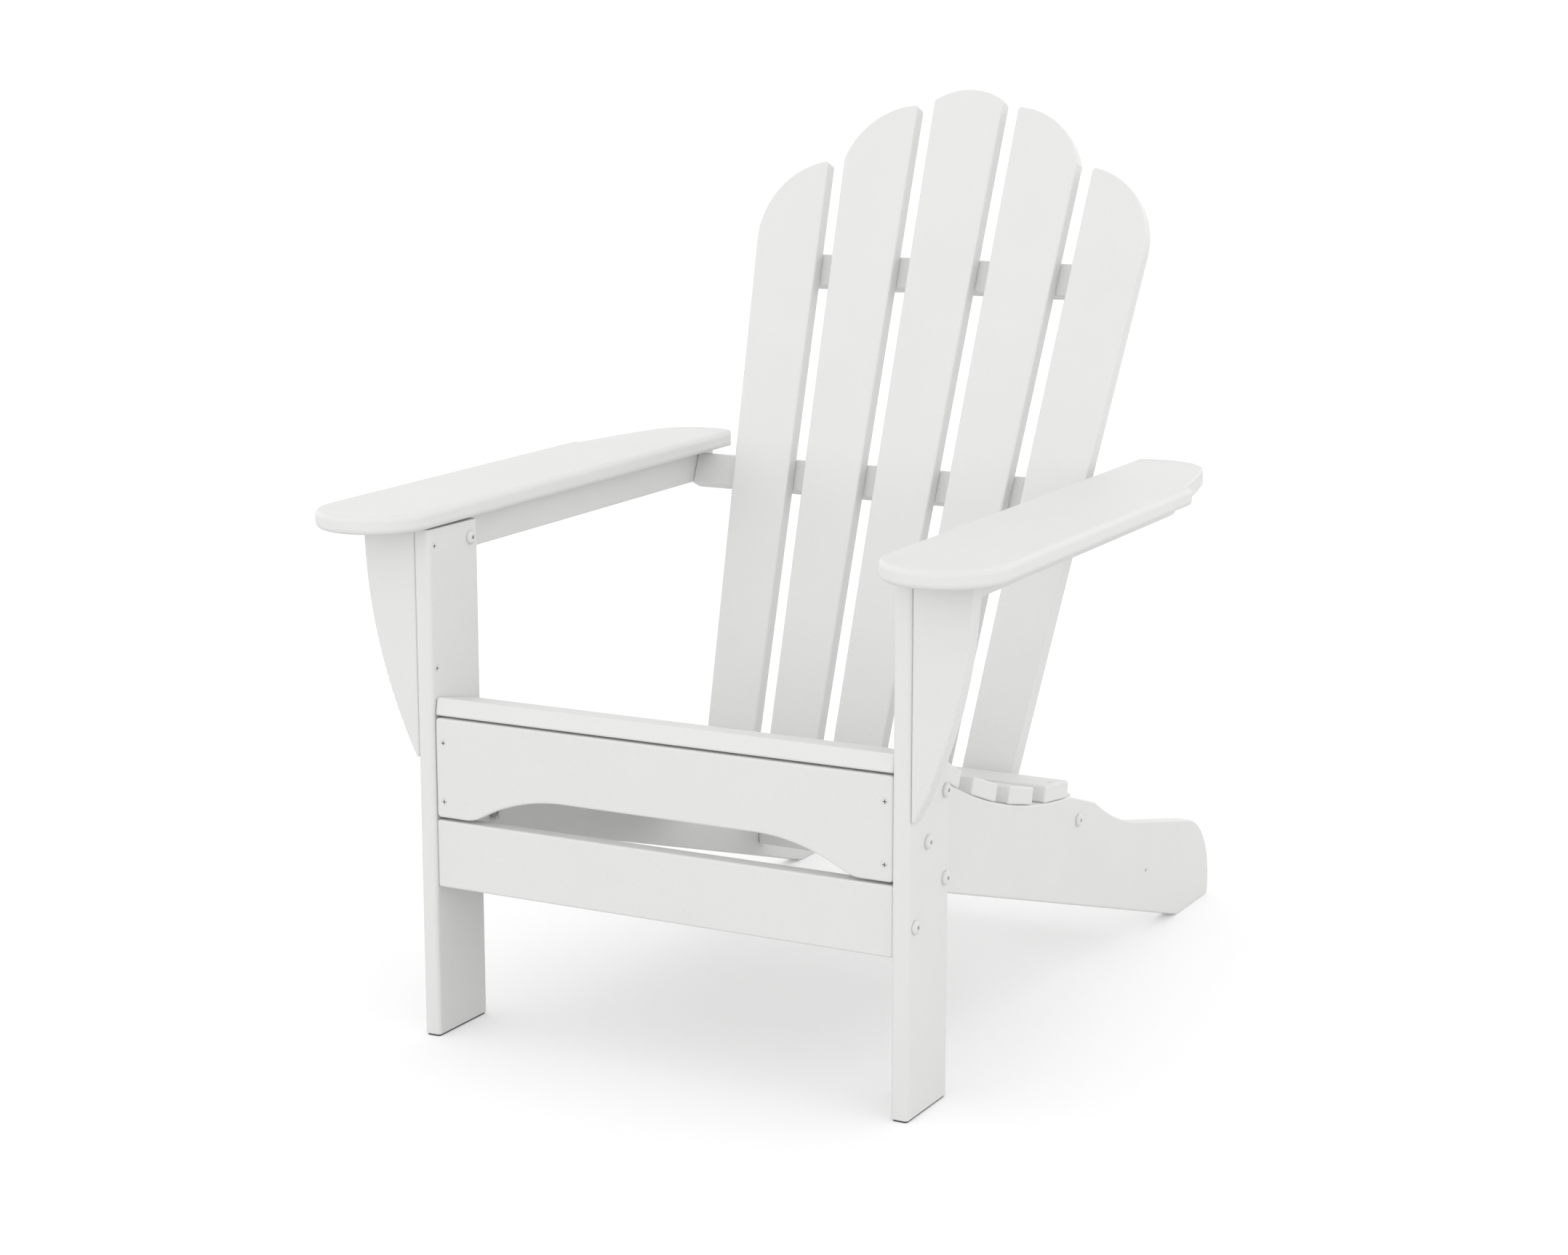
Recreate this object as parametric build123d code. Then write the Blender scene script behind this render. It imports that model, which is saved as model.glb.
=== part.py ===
from build123d import *
import os
from math import asin, atan2, cos, degrees, dist, radians, sin, sqrt, tan

# Adirondack chair in plastic lumber, in millimetres: +X to the right of someone who faces the chair, +Y to its
# back, +Z up. While the pieces are made, Y = 0 is the front face of the front legs and X = 0 the middle plane;
# place() then moves them all so that the origin is on the ground under the middle of the chair.

# ---------------------------------------------------------------- boards
BOARD = 19.0  # thickness of every board
EASE = 2.5  # rounding along the sawn edges of every board
EASE = min(EASE, BOARD / 4)  # never more than the board can hold
CORNER = 4.0  # rounding of a board's corners, seen on its face
FIT = 0.5  # play at each end of a board that lies loosely between two others

# ---------------------------------------------------------------- front frame
INSIDE_WIDTH = 526.0  # between the two front legs
LEG_WIDTH = 90.0
LEG_EASE = 4.5  # rounding of the long edges
LEG_EASE = min(LEG_EASE, BOARD * 0.4)
LEG_HEIGHT = 540.0
FRONT_SETBACK = 3.5  # apron and stretcher behind the legs' front faces
GLIDE_THICKNESS = 1.8  # of the pad under each front leg
GLIDE_INSET = 1.7  # inside the leg's outline
GLIDE_PIN_RADIUS = 2.5
GLIDE_PIN_LENGTH = 12.0
GLIDE_PIN_SPACING = LEG_WIDTH / 2
STRETCHER_BOTTOM = 163.5
STRETCHER_HEIGHT = 72.0
APRON_HEIGHT = 105.4
APRON_GAP = 3.0  # between the stretcher and the apron
ARCH_RISE = 31.0
ARCH_FLAT = 220.0  # straight middle of the arch
ARCH_RADIUS = 200.0
ARCH_FOOT_RADIUS = 40.0

# ---------------------------------------------------------------- seat stringers, which are also the rear legs
STRINGER_FRONT_BOTTOM = 228.14  # where the straight lower edge starts, behind the apron
FOOT_FRONT = 782.0  # where the lower edge reaches the ground
TAIL_RADIUS = 91.5
TAIL_BEHIND_FOOT = 14.5  # of the round tail's centre
TAIL_UP = 20.0  # height of that centre
NECK = (517.0, 200.0)  # (y, z) of the corner behind the back slats
NECK_SLOPE = 31.5  # degrees, where the hollow behind that corner starts
NECK_DROP = 23.77  # from that corner down to the line of the flat on top of the tail
KNEE_RADIUS = 90.0  # of the bend under the front edge of the seat
BREAK_RADIUS = 15.0  # of the two shallow corners behind the seat
SEAT_RUNOUT = 8.0  # of the seat's hollow behind the last slat

# ---------------------------------------------------------------- seat
SEAT_RADIUS = 890.0  # of the hollow that the seat slats lie in
SEAT_CENTRE = (515.7, 1110.4)  # (y, z) of that hollow's centre
SLAT_WIDTH = 63.5
SEAT_SLATS = 4  # in the hollow, behind the front slat
LAST_SLAT_ANGLE = 7.25  # degrees from straight below the hollow's centre
SLAT_PITCH_ANGLE = 6.3  # degrees round the hollow's centre
FRONT_SLAT_TILT = 10.7  # degrees
FRONT_SLAT_GAP = 2.8  # from the apron up to its front lower corner

# ---------------------------------------------------------------- back
BACK_LEAN = 21.67  # degrees from upright
BACK_FOOT = 351.3  # y where the slats' front faces would reach the ground
FAN_STEP = 2.0  # degrees between neighbouring slats
FAN_APEX = 2056.0  # from the ground line down to the point that all the slats fan out from
BACK_GAP = 20.0  # between neighbouring slats
BACK_SLAT_START = 172.0  # from the ground line up the slope to the slats' lower ends
CROWN_UP = 965.0  # from the ground line up the slope to the middle slat's round top's centre
# Round tops, as centres (sideways from each slat's own middle line, down from the middle slat's), and their radii.
CENTRE_CROWN, CENTRE_CROWN_RADIUS = (0.0, 0.0), 79.2
INNER_CROWN, INNER_CROWN_RADIUS = (44.0, 31.5), 91.0
OUTER_CROWN = (50.0, 97.5)  # its round is tangent to the slat's outer edge
BRACE_HEIGHT = 38.0
UPPER_BRACE_DROP = 158.0  # of its lower edge, down the slope from the middle slat's round top's centre
UPPER_BRACE_LENGTH = 444.0
MIDDLE_BRACE_DROP = 26.2  # of its lower edge, down the slope from the arms' height
LOWER_RAIL_START = 190.5
LOWER_RAIL_HEIGHT = 60.0
LOWER_RAIL_THICKNESS = 32.0

# ---------------------------------------------------------------- arms
ARM_WIDTH = 127.0
ARM_OVERLAP = 6.0  # of the arm's inner edge past the leg's inner face
ARM_NOSE = 69.5  # in front of the front legs
ARM_GAP = 2.0  # between a leg's top and the arm, at the leg's front
ARM_RISE = 0.72  # degrees, rising to the back
ARM_EASE = 6.0  # rounding of the nose and of the long edges
ARM_EASE = min(ARM_EASE, BOARD * 0.4)
ARM_PAST_RAIL = 12.5  # of the arm's rear end behind the rail's
TAIL_LENGTH = 171.5  # from the arm's rear end to where its outer edge steps in to its tapered tail
TAIL_STEP = 10.0
TAIL_ROUND = 61.5  # radius of the tail's round end
TAIL_ROUND_X = 33.0  # its centre, from the arm's inner edge
TAIL_START_ANGLE = 8.0  # degrees off straight, where the taper starts
TAIL_CORNER = 14.0  # radius between the round end and the inner edge
KERF = 0.1  # how far the saw's path for the tail stays outside the arm's straight edges
RAIL_THICKNESS = 28.0
RAIL_HEIGHT = 38.0
RAIL_PAST_BRACE = 35.5  # behind the middle of the middle brace
RAIL_CORNER = 18.0
BRACKET_WIDTH = 63.0
BRACKET_DROP = 248.0
BRACKET_SETBACK = 1.5

# ---------------------------------------------------------------- rear stretcher
REAR_STRETCHER_AHEAD = 115.0  # of the place where the stringers' lower edges reach the ground
REAR_STRETCHER_LIFT = 15.4  # above those edges
REAR_STRETCHER_HEIGHT = 64.0

# ---------------------------------------------------------------- fasteners
BOLT_RADIUS = 3.2
BOLT_HEAD_RADIUS = 7.2
BOLT_HEAD_HEIGHT = 4.0
BOLT_SOCKET = 4.0  # across the flats
BOLT_PLAY = 0.3  # radial, in the boards
BOLT_TIP = 2.0  # of thread past the nut
END_BOLT_DEPTH = 30.0  # into the end of a board
INSERT_RADIUS = 4.8
INSERT_LENGTH = 20.0
NUT_FLATS = 11.0
NUT_HEIGHT = 5.5
WASHER_RADIUS = 8.0
WASHER_THICKNESS = 1.5
SCREW_RADIUS = 2.0
SCREW_HEAD_RADIUS = 4.0
SCREW_SINK = 0.5  # of the head below the face
SCREW_PLAY = 0.3  # radial, in the board under the head
SCREW_POINT = 4.0
CROSS_LENGTH = 4.4
CROSS_WIDTH = 1.0
CROSS_DEPTH = 1.6
LONG_SCREW = 44.0
SEAT_SCREW = 35.0
BACK_SCREW = 31.0
RAIL_SCREW = LOWER_RAIL_THICKNESS + 12.0
ARM_SCREW = RAIL_HEIGHT + 12.0
# Three bolts through each leg and stringer: (ahead of the leg's rear edge, below the front slat's corner).
LEG_BOLTS = ((10.5, 30.7), (50.0, 73.4), (10.0, 119.2))
STRETCHER_BOLT_UP = 31.5  # above the stretcher's lower edge
BRACKET_SCREWS_DOWN = (145.5, 18.0)  # below the leg's top
APRON_SCREWS_UP = (17.0, 79.5)  # above the apron's lower corners
ARM_RAIL_BOLT = (14.5, 18.0)  # ahead of the leg's rear edge, below its top
ARM_SCREWS_Y = (150.0, 345.0, 540.0)

# ---------------------------------------------------------------- places worked out from the sizes above
LEG_INNER = INSIDE_WIDTH / 2
LEG_OUTER = LEG_INNER + BOARD
STRINGER_INNER = LEG_INNER - BOARD
STRINGER_MIDDLE = LEG_INNER - BOARD / 2
RAIL_OUTER = LEG_OUTER + RAIL_THICKNESS
ARM_INNER = LEG_INNER - ARM_OVERLAP
ARM_OUTER = ARM_INNER + ARM_WIDTH
STRINGER_FRONT = FRONT_SETBACK + BOARD
BRACKET_BACK = BRACKET_SETBACK + BOARD
HALF_STEP = radians(FAN_STEP / 2)
APRON_BOTTOM = STRETCHER_BOTTOM + STRETCHER_HEIGHT + APRON_GAP
FRONT_SLAT_BOTTOM = APRON_BOTTOM + APRON_HEIGHT + FRONT_SLAT_GAP
UNDERSIDE_RISE = STRINGER_FRONT_BOTTOM / (FOOT_FRONT - STRINGER_FRONT)  # per millimetre
TAIL_CENTRE = (FOOT_FRONT + TAIL_BEHIND_FOOT, TAIL_UP)  # (y, z)
ARM_HEIGHT = LEG_HEIGHT + ARM_GAP  # underside, above the front of the legs
UPPER_BRACE_START = CROWN_UP - UPPER_BRACE_DROP
MIDDLE_BRACE_START = ARM_HEIGHT / cos(radians(BACK_LEAN)) - MIDDLE_BRACE_DROP
REAR_STRETCHER_Y = FOOT_FRONT - REAR_STRETCHER_AHEAD
REAR_STRETCHER_BOTTOM = REAR_STRETCHER_AHEAD * UNDERSIDE_RISE + REAR_STRETCHER_LIFT

# Sketch planes. On the side plane x is the chair's Y and y is its Z; on the front plane x is X and y is Z; on the
# back plane x is X, y runs up the lean, and the slats' front faces are at 0 with the chair's rear below it. On the
# arm plane x is X, y runs back along the arm, and the arm's underside is at 0.
SIDE = Plane.YZ
FRONT = Plane.XZ
BACK = Plane((0, BACK_FOOT, 0), x_dir=(1, 0, 0), z_dir=(0, -cos(radians(BACK_LEAN)), sin(radians(BACK_LEAN))))
ARM = Plane((0, 0, ARM_HEIGHT), x_dir=(1, 0, 0), z_dir=(0, -sin(radians(ARM_RISE)), cos(radians(ARM_RISE))))
middle_of_brace = BACK.from_local_coords((0, MIDDLE_BRACE_START + BRACE_HEIGHT / 2, -1.5 * BOARD))
RAIL_BACK = middle_of_brace.Y + RAIL_PAST_BRACE
ARM_BACK = RAIL_BACK + ARM_PAST_RAIL
TAIL_STEP_Y = ARM_BACK - TAIL_LENGTH


# ---------------------------------------------------------------- boards, drilled and eased
def flat_edges(solid, along=Axis.Z):
    """A sawn board's edges, except those that run through its thickness."""
    through = solid.edges().filter_by(along)
    return [edge for edge in solid.edges() if edge not in through]


def ease_loops(solid, radius, along=Axis.Z):
    """Rounds the edges round both faces of a sawn board."""
    return fillet(flat_edges(solid, along), radius)


def straight_board(low, high):
    """A straight board between two opposite corners, with all its edges eased."""
    size = [b - a for a, b in zip(low, high)]
    middle = [(a + b) / 2 for a, b in zip(low, high)]
    return Pos(*middle) * fillet(Box(*size).edges(), EASE)


def leg_board(low, high):
    """An upright board whose long edges are rounder than its sawn ends."""
    size = [b - a for a, b in zip(low, high)]
    middle = [(a + b) / 2 for a, b in zip(low, high)]
    blank = Box(*size)
    blank = fillet(blank.edges().filter_by(Axis.Z), LEG_EASE)
    ends = blank.edges().group_by(Axis.Z)
    return Pos(*middle) * fillet(ends[0] + ends[-1], EASE / 2)


def sawn_board(face, thickness=BOARD):
    """A board sawn to a flat outline, with both its faces' edges eased."""
    return ease_loops(extrude(face, thickness), EASE)


def corners(face, places, radius):
    """The vertices of an outline that are nearest to the given places, rounded."""
    chosen = [face.vertices().sort_by_distance((*place, 0))[0] for place in places]
    return fillet(chosen, radius)


def drill(solid, cutters):
    """Takes each fastener's hole out of a board."""
    for cutter in cutters:
        solid = solid - cutter
    return solid


def other_side(shape):
    """The same piece for the left side of the chair."""
    return mirror(shape, about=Plane.YZ)


# ---------------------------------------------------------------- fasteners, with the head's seat at 0 and the shank below
def bolt(length):
    head = Pos(0, 0, BOLT_HEAD_HEIGHT / 2) * Cylinder(BOLT_HEAD_RADIUS, BOLT_HEAD_HEIGHT)
    head = fillet(head.edges().group_by(Axis.Z)[-1], BOLT_HEAD_HEIGHT * 0.8)
    socket = extrude(RegularPolygon(BOLT_SOCKET / 2, 6, major_radius=False), BOLT_HEAD_HEIGHT)
    head = head - Pos(0, 0, BOLT_HEAD_HEIGHT * 0.4) * socket
    return head + Pos(0, 0, -length / 2) * Cylinder(BOLT_RADIUS, length)


def bolt_hole(depth):
    return Pos(0, 0, -depth / 2) * Cylinder(BOLT_RADIUS + BOLT_PLAY, depth)


def nut(above):
    """A nut whose face is that far along the bolt's shank."""
    blank = extrude(RegularPolygon(NUT_FLATS / 2, 6, major_radius=False), NUT_HEIGHT)
    blank = blank - Cylinder(BOLT_RADIUS, 4 * NUT_HEIGHT)
    return Pos(0, 0, -above - NUT_HEIGHT) * blank


def washer(above):
    ring = Cylinder(WASHER_RADIUS, WASHER_THICKNESS) - Cylinder(BOLT_RADIUS + BOLT_PLAY, WASHER_THICKNESS)
    return Pos(0, 0, -above - WASHER_THICKNESS / 2) * ring


def insert(above):
    """A threaded sleeve pressed into the end of a board, that far along the bolt."""
    sleeve = Cylinder(INSERT_RADIUS, INSERT_LENGTH) - Cylinder(BOLT_RADIUS, INSERT_LENGTH)
    return Pos(0, 0, -above - INSERT_LENGTH / 2) * sleeve


def insert_hole(above):
    return Pos(0, 0, -above - INSERT_LENGTH / 2) * Cylinder(INSERT_RADIUS, INSERT_LENGTH)


def screw(length):
    """A countersunk screw with a cross recess, its head just below the face at 0."""
    cone = SCREW_HEAD_RADIUS - SCREW_RADIUS
    outline = [
        (0, -SCREW_SINK),
        (SCREW_HEAD_RADIUS, -SCREW_SINK),
        (SCREW_RADIUS, -SCREW_SINK - cone),
        (SCREW_RADIUS, SCREW_POINT - length),
        (0, -length),
    ]
    body = revolve(Plane.XZ * make_face(Polyline(*outline, close=True)), Axis.Z)
    for turn in (0, 90):
        body = body - Pos(0, 0, -SCREW_SINK) * Rot(0, 0, turn) * Box(CROSS_LENGTH, CROSS_WIDTH, 2 * CROSS_DEPTH)
    return body


def screw_hole(length, grip):
    """The hole for a screw: countersunk and free down to the grip, and tight round the thread below it."""
    mouth = SCREW_HEAD_RADIUS + SCREW_SINK
    free = SCREW_RADIUS + SCREW_PLAY
    outline = [
        (0, 0),
        (mouth, 0),
        (free, free - mouth),
        (free, -grip),
        (SCREW_RADIUS, -grip),
        (SCREW_RADIUS, -length),
        (0, -length),
    ]
    return revolve(Plane.XZ * make_face(Polyline(*outline, close=True)), Axis.Z)


def at(place, outward):
    """The place of a fastener whose head looks outward."""
    return Plane(place, z_dir=outward).location


def both_sides(x, y, z, outward):
    """The right-hand place of a fastener and its mirror place on the left."""
    ox, oy, oz = outward
    return [at((x, y, z), (ox, oy, oz)), at((-x, y, z), (-ox, oy, oz))]


def put(shape, places):
    return [place * shape for place in places]


# ---------------------------------------------------------------- where the fasteners go
leg_bolt_places = [
    p
    for ahead, down in LEG_BOLTS
    for p in both_sides(LEG_OUTER, LEG_WIDTH - ahead, FRONT_SLAT_BOTTOM - down, (1, 0, 0))
]
stretcher_middle_y = FRONT_SETBACK + BOARD / 2
stretcher_bolt_z = STRETCHER_BOTTOM + STRETCHER_BOLT_UP
stretcher_bolt_places = both_sides(LEG_OUTER, stretcher_middle_y, stretcher_bolt_z, (1, 0, 0))
arm_rail_bolt_places = both_sides(LEG_INNER, LEG_WIDTH - ARM_RAIL_BOLT[0], LEG_HEIGHT - ARM_RAIL_BOLT[1], (-1, 0, 0))
bracket_middle_y = BRACKET_SETBACK + BOARD / 2
bracket_screw_places = [
    p for down in BRACKET_SCREWS_DOWN for p in both_sides(LEG_INNER, bracket_middle_y, LEG_HEIGHT - down, (-1, 0, 0))
]
apron_screw_places = [
    p for up in APRON_SCREWS_UP for p in both_sides(STRINGER_MIDDLE, FRONT_SETBACK, APRON_BOTTOM + up, (0, -1, 0))
]
rear_stretcher_middle = (REAR_STRETCHER_Y + BOARD / 2, REAR_STRETCHER_BOTTOM + REAR_STRETCHER_HEIGHT / 2)
rear_stretcher_screw_places = both_sides(LEG_INNER, *rear_stretcher_middle, (1, 0, 0))


def on_back(x, up, behind):
    """A point of the back, by its place across, up the lean, and behind the slats' front faces."""
    return BACK.from_local_coords((x, up, -behind))


def back_bolt_places(face, up, behind):
    """A bolt from each side into a cross member of the back, with its head on the given side face."""
    middle = on_back(0, up, behind)
    return both_sides(face, middle.Y, middle.Z, (1, 0, 0))


lower_rail_bolt_places = back_bolt_places(
    LEG_INNER, LOWER_RAIL_START + LOWER_RAIL_HEIGHT / 2, BOARD + LOWER_RAIL_THICKNESS / 2
)
middle_brace_bolt_places = back_bolt_places(RAIL_OUTER, MIDDLE_BRACE_START + BRACE_HEIGHT / 2, 1.5 * BOARD)


def slat_screw_places(up, behind):
    """Two screws into each back slat from behind, at a height up the lean."""
    places = []
    for index in range(-2, 3):
        turn = radians(FAN_STEP * index)
        reach = FAN_APEX + up
        side = reach * tan(HALF_STEP) / 2
        for offset in (-side, side):
            x = reach * sin(turn) + offset * cos(turn)
            y = reach * cos(turn) - offset * sin(turn) - FAN_APEX
            places.append(at(on_back(x, y, behind), -BACK.z_dir))
    return places


upper_screw_places = slat_screw_places(UPPER_BRACE_START + BRACE_HEIGHT / 2, 2 * BOARD)
middle_screw_places = slat_screw_places(MIDDLE_BRACE_START + BRACE_HEIGHT / 2, 2 * BOARD)
lower_screw_places = slat_screw_places(LOWER_RAIL_START + LOWER_RAIL_HEIGHT / 2, BOARD + LOWER_RAIL_THICKNESS)


def seat_slat_frame(angle):
    """The plane of a seat slat's underside: x along the slat, y to the back, z up out of the seat."""
    # The slat bridges the hollow, so its underside is the chord between its two lower edges.
    turn = radians(angle)
    drop = sqrt(SEAT_RADIUS**2 - (SLAT_WIDTH / 2) ** 2)
    y = SEAT_CENTRE[0] - drop * sin(turn)
    z = SEAT_CENTRE[1] - drop * cos(turn)
    return Plane((0, y, z), x_dir=(1, 0, 0), z_dir=(0, sin(turn), cos(turn)))


front_tilt = radians(FRONT_SLAT_TILT)
front_slat_frame = Plane(
    (
        0,
        FRONT_SETBACK + SLAT_WIDTH / 2 * cos(front_tilt),
        FRONT_SLAT_BOTTOM - SLAT_WIDTH / 2 * sin(front_tilt),
    ),
    x_dir=(1, 0, 0),
    z_dir=(0, sin(front_tilt), cos(front_tilt)),
)
hollow_slat_frames = [
    seat_slat_frame(LAST_SLAT_ANGLE + SLAT_PITCH_ANGLE * (SEAT_SLATS - 1 - index)) for index in range(SEAT_SLATS)
]
slat_frames = [front_slat_frame, *hollow_slat_frames]
seat_screw_places = [
    at(frame.from_local_coords((side * STRINGER_MIDDLE, 0, BOARD)), frame.z_dir)
    for frame in slat_frames
    for side in (1, -1)
]
rail_middle_x = LEG_OUTER + RAIL_THICKNESS / 2
arm_screw_places = [
    at(ARM.from_local_coords((side * rail_middle_x, y, -RAIL_HEIGHT)), -ARM.z_dir)
    for y in ARM_SCREWS_Y
    for side in (1, -1)
]

# ---------------------------------------------------------------- the holes that they need
leg_grip = 2 * BOARD
arm_grip = BOARD + RAIL_THICKNESS
leg_bolt_holes = put(bolt_hole(leg_grip), leg_bolt_places)
arm_rail_bolt_holes = put(bolt_hole(arm_grip), arm_rail_bolt_places)


def end_bolt_holes(places, outer=BOARD):
    """Through the outer board, then a seat for the insert and room for the bolt's tip."""
    return put(bolt_hole(outer + END_BOLT_DEPTH + BOLT_TIP) + insert_hole(outer), places)


stretcher_bolt_holes = end_bolt_holes(stretcher_bolt_places)
lower_rail_bolt_holes = end_bolt_holes(lower_rail_bolt_places)
middle_brace_bolt_holes = end_bolt_holes(middle_brace_bolt_places, RAIL_THICKNESS)
bracket_screw_holes = put(screw_hole(LONG_SCREW, BOARD), bracket_screw_places)
apron_screw_holes = put(screw_hole(LONG_SCREW, BOARD), apron_screw_places)
rear_stretcher_screw_holes = put(screw_hole(LONG_SCREW, BOARD), rear_stretcher_screw_places)
seat_screw_holes = put(screw_hole(SEAT_SCREW, BOARD), seat_screw_places)
upper_screw_holes = put(screw_hole(BACK_SCREW, BOARD), upper_screw_places)
middle_screw_holes = put(screw_hole(BACK_SCREW, BOARD), middle_screw_places)
lower_screw_holes = put(screw_hole(RAIL_SCREW, LOWER_RAIL_THICKNESS), lower_screw_places)
arm_screw_holes = put(screw_hole(ARM_SCREW, RAIL_HEIGHT), arm_screw_places)


def right(items):
    """Of places or holes listed right, left, right, left, those on the right."""
    return items[0::2]


# ---------------------------------------------------------------- front frame
def glide_pins(length):
    """The two pins that hold a glide in the leg's end grain, or the holes for them."""
    middle = Pos((LEG_INNER + LEG_OUTER) / 2, LEG_WIDTH / 2, GLIDE_THICKNESS + length / 2)
    offsets = (-GLIDE_PIN_SPACING / 2, GLIDE_PIN_SPACING / 2)
    return [middle * Pos(0, offset, 0) * Cylinder(GLIDE_PIN_RADIUS, length) for offset in offsets]


def front_leg():
    leg = leg_board((LEG_INNER, 0, GLIDE_THICKNESS), (LEG_OUTER, LEG_WIDTH, LEG_HEIGHT))
    holes = leg_bolt_holes + stretcher_bolt_holes + arm_rail_bolt_holes + bracket_screw_holes
    return drill(leg, right(holes) + glide_pins(GLIDE_PIN_LENGTH + FIT))


def leg_glide():
    """The thin dark pad that a front leg stands on, with two pins pressed into the leg."""
    plate = Box(BOARD - 2 * GLIDE_INSET, LEG_WIDTH - 2 * GLIDE_INSET, GLIDE_THICKNESS)
    plate = fillet(plate.edges().filter_by(Axis.Z), LEG_EASE - GLIDE_INSET)
    glide = Pos((LEG_INNER + LEG_OUTER) / 2, LEG_WIDTH / 2, GLIDE_THICKNESS / 2) * plate
    for pin in glide_pins(GLIDE_PIN_LENGTH):
        glide = glide + pin
    return glide


def front_stretcher():
    low = (-LEG_INNER, FRONT_SETBACK, STRETCHER_BOTTOM)
    high = (LEG_INNER, STRINGER_FRONT, STRETCHER_BOTTOM + STRETCHER_HEIGHT)
    return drill(straight_board(low, high), stretcher_bolt_holes)


def front_apron():
    """The board under the seat's front edge, with a shallow arch sawn out of its lower edge."""
    half = LEG_INNER - FIT
    low, top = APRON_BOTTOM, APRON_BOTTOM + APRON_HEIGHT
    crown = low + ARCH_RISE
    run = sqrt(ARCH_RADIUS**2 - (ARCH_RADIUS - ARCH_RISE) ** 2)
    bend = atan2(run, ARCH_RADIUS - ARCH_RISE)
    flat = ARCH_FLAT / 2
    shoulder = (flat + ARCH_RADIUS * sin(bend / 2), crown - ARCH_RADIUS * (1 - cos(bend / 2)))
    foot = (flat + run, low)
    outline = [
        Line((-flat, crown), (flat, crown)),
        ThreePointArc((flat, crown), shoulder, foot),
        Polyline(foot, (half, low), (half, top), (-half, top), (-half, low), (-foot[0], low)),
        ThreePointArc((-foot[0], low), (-shoulder[0], shoulder[1]), (-flat, crown)),
    ]
    face = make_face(outline)
    face = corners(face, [foot, (-foot[0], low)], ARCH_FOOT_RADIUS)
    face = corners(face, [(half, low), (half, top), (-half, top), (-half, low)], CORNER)
    board = FRONT * Pos(0, 0, -STRINGER_FRONT) * sawn_board(face)
    return drill(board, apron_screw_holes)


# ---------------------------------------------------------------- seat stringer
def seat_stringer():
    """The long side board: it carries the seat, and its round tail stands on the ground behind the chair."""
    tail_y, tail_z = TAIL_CENTRE
    # The flat on top of the tail touches the round and passes below the neck.
    below_neck = (NECK[0], NECK[1] - NECK_DROP)
    slope = atan2(below_neck[1] - tail_z, tail_y - below_neck[0]) - asin(TAIL_RADIUS / dist(below_neck, TAIL_CENTRE))
    front_low = (STRINGER_FRONT, STRINGER_FRONT_BOTTOM)
    seat_top = FRONT_SLAT_BOTTOM - (STRINGER_FRONT - FRONT_SETBACK) * tan(front_tilt)
    front_top = (STRINGER_FRONT, seat_top)
    foot_back = (tail_y + sqrt(TAIL_RADIUS**2 - tail_z**2), 0)
    tail_back = (tail_y + TAIL_RADIUS, tail_z)
    tail_top = (tail_y + TAIL_RADIUS * sin(slope), tail_z + TAIL_RADIUS * cos(slope))

    # The hollow runs from the bend under the front slat to the last slat's rear lower edge.
    def on_hollow(angle):
        turn = radians(angle)
        return (SEAT_CENTRE[0] - SEAT_RADIUS * sin(turn), SEAT_CENTRE[1] - SEAT_RADIUS * cos(turn))

    half_slat = degrees(SLAT_WIDTH / 2 / SEAT_RADIUS)
    last_angle = LAST_SLAT_ANGLE - half_slat - degrees(SEAT_RUNOUT / SEAT_RADIUS)
    seat_back = on_hollow(last_angle)
    # The front slat's seat is a straight line down to the hollow; the bend is where the two cross.
    away = front_slat_frame.to_local_coords(Vector(0, *SEAT_CENTRE))
    reach = away.Y - sqrt(SEAT_RADIUS**2 - away.Z**2)
    knee_point = front_slat_frame.from_local_coords((0, reach, 0))
    knee = (knee_point.Y, knee_point.Z)
    knee_angle = degrees(atan2(SEAT_CENTRE[0] - knee[0], SEAT_CENTRE[1] - knee[1]))
    # One arc leaves the neck at its own slope and runs into the tail's flat; its chord has the mean of both slopes.
    fall = radians(NECK_SLOPE)
    chord = (fall + slope) / 2
    run = NECK_DROP / (tan(chord) - tan(slope))
    flat_start = (NECK[0] + run, NECK[1] - run * tan(chord))
    radius = run / cos(chord) / (2 * sin((fall - slope) / 2))
    hollow = (NECK[0] + radius * (sin(fall) - sin(chord)), NECK[1] - radius * (cos(chord) - cos(fall)))
    outline = [
        Polyline(foot_back, (FOOT_FRONT, 0), front_low, front_top, knee),
        ThreePointArc(knee, on_hollow((knee_angle + last_angle) / 2), seat_back),
        Line(seat_back, NECK),
        ThreePointArc(NECK, hollow, flat_start),
        Line(flat_start, tail_top),
        ThreePointArc(tail_top, tail_back, foot_back),
    ]
    face = make_face(outline)
    face = corners(face, [knee], KNEE_RADIUS)
    face = corners(face, [seat_back, NECK], BREAK_RADIUS)
    face = corners(face, [(FOOT_FRONT, 0), foot_back, front_low, front_top], CORNER)
    board = SIDE * Pos(0, 0, STRINGER_INNER) * sawn_board(face)
    holes = leg_bolt_holes + lower_rail_bolt_holes + apron_screw_holes + seat_screw_holes
    return drill(board, right(holes + rear_stretcher_screw_holes))


def rear_stretcher():
    low = (-STRINGER_INNER, REAR_STRETCHER_Y, REAR_STRETCHER_BOTTOM)
    high = (STRINGER_INNER, REAR_STRETCHER_Y + BOARD, REAR_STRETCHER_BOTTOM + REAR_STRETCHER_HEIGHT)
    return drill(straight_board(low, high), rear_stretcher_screw_holes)


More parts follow.
